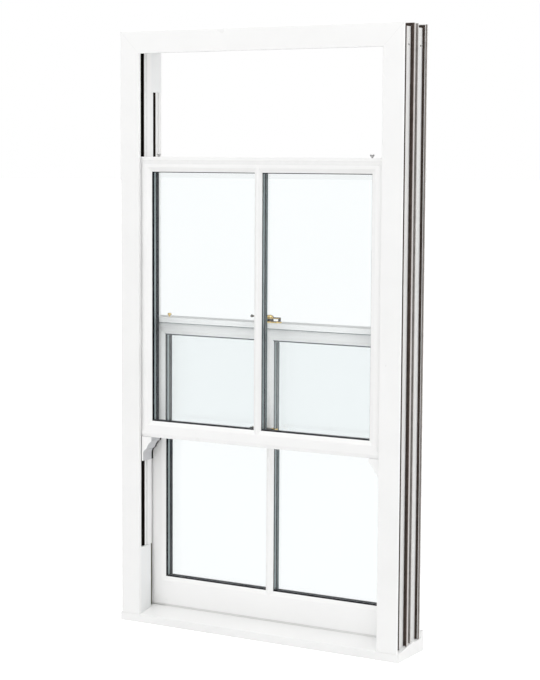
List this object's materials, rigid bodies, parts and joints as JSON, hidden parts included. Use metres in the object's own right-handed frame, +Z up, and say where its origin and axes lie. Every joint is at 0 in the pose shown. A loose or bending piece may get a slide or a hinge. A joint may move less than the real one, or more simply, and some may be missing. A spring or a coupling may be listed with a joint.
{
  "type": "sash window",
  "caption": "White vertical sliding sash window in its box frame, with double glazed sashes divided by a central bar, run-through horns, brass fastener, tilt latches and a projecting cill.",
  "frame": {"origin": "middle of the underside of the cill, which is the centre of the bottom of the bounding box", "axes": "+X across the window to the right seen from outside, +Y from the outside towards the room, +Z upwards"},
  "size_m": [0.861, 0.15, 1.62],
  "materials": {
    "white_plastic": "satin",
    "stop_plastic": "matte",
    "glass": "polished",
    "gasket": "matte",
    "pale_seal": "matte",
    "pile": "brushed pile",
    "spacer": "satin",
    "tube": "matte",
    "steel": "satin",
    "shoe": "matte",
    "brass": "polished"
  },
  "bodies": {
    "frame": {"frame_head": "white_plastic", "frame_jamb_left": "white_plastic", "frame_jamb_right": "white_plastic", "cill": "white_plastic", "cill_end_caps": "white_plastic", "inner_sash_stop_left": "stop_plastic", "inner_sash_stop_right": "stop_plastic", "outer_sash_stop_left": "stop_plastic", "outer_sash_stop_right": "stop_plastic", "pile_seals": "pile", "balance_tubes": "tube", "balance_tube_screws": "steel"},
    "outer_sash": {"outer_top_rail": "white_plastic", "outer_meeting_rail": "white_plastic", "outer_stile_left": "white_plastic", "outer_stile_right": "white_plastic", "outer_glazing_beads": "white_plastic", "outer_front_gasket": "gasket", "outer_back_gasket": "gasket", "outer_front_pane": "glass", "outer_back_pane": "glass", "outer_spacers": "spacer", "outer_front_bar": "white_plastic", "outer_back_bar": "white_plastic", "outer_horn_left": "white_plastic", "outer_horn_right": "white_plastic", "outer_interlock": "white_plastic", "keep": "brass", "keep_screws": "brass", "outer_latch_cases": "white_plastic", "outer_balance_shoes": "shoe", "outer_balance_rods": "steel"},
    "inner_sash": {"inner_top_rail": "white_plastic", "inner_bottom_rail": "white_plastic", "inner_stile_left": "white_plastic", "inner_stile_right": "white_plastic", "inner_glazing_beads": "white_plastic", "inner_front_gasket": "gasket", "inner_back_gasket": "gasket", "inner_front_pane": "glass", "inner_back_pane": "glass", "inner_spacers": "spacer", "inner_front_bar": "white_plastic", "inner_back_bar": "white_plastic", "inner_interlock": "white_plastic", "inner_bottom_seal": "pale_seal", "inner_latch_cases": "white_plastic", "inner_balance_shoes": "shoe", "inner_balance_rods": "steel", "fastener_plate": "brass", "fastener_screws": "brass"},
    "outer_latch_left": {"outer_bolt_left": "steel", "outer_knob_left": "white_plastic"},
    "outer_latch_right": {"outer_bolt_right": "steel", "outer_knob_right": "white_plastic"},
    "inner_latch_left": {"inner_bolt_left": "steel", "inner_knob_left": "brass"},
    "inner_latch_right": {"inner_bolt_right": "steel", "inner_knob_right": "brass"},
    "fastener": {"fastener_lever": "brass"}
  },
  "joints": [
    {"name": "outer_sash_slide", "type": "slide", "parent": "frame", "child": "outer_sash", "axis": [0, 0, 1], "range_m": [-0.3095, 0.283]},
    {"name": "inner_sash_slide", "type": "slide", "parent": "frame", "child": "inner_sash", "axis": [0, 0, 1], "range_m": [0, 0.612]},
    {"name": "outer_latch_left_slide", "type": "slide", "parent": "outer_sash", "child": "outer_latch_left", "axis": [1, 0, 0], "range_m": [0, 0.01], "stiffness_N_per_m": 400, "springref_m": -0.004},
    {"name": "outer_latch_right_slide", "type": "slide", "parent": "outer_sash", "child": "outer_latch_right", "axis": [-1, 0, 0], "range_m": [0, 0.01], "stiffness_N_per_m": 400, "springref_m": -0.004},
    {"name": "inner_latch_left_slide", "type": "slide", "parent": "inner_sash", "child": "inner_latch_left", "axis": [1, 0, 0], "range_m": [0, 0.01], "stiffness_N_per_m": 400, "springref_m": -0.004},
    {"name": "inner_latch_right_slide", "type": "slide", "parent": "inner_sash", "child": "inner_latch_right", "axis": [-1, 0, 0], "range_m": [0, 0.01], "stiffness_N_per_m": 400, "springref_m": -0.004},
    {"name": "fastener_turn", "type": "hinge", "parent": "inner_sash", "child": "fastener", "pos_m": [-0.006, 0.017, 0.8565], "axis": [0, 0, 1], "range_deg": [-90, 0]}
  ]
}
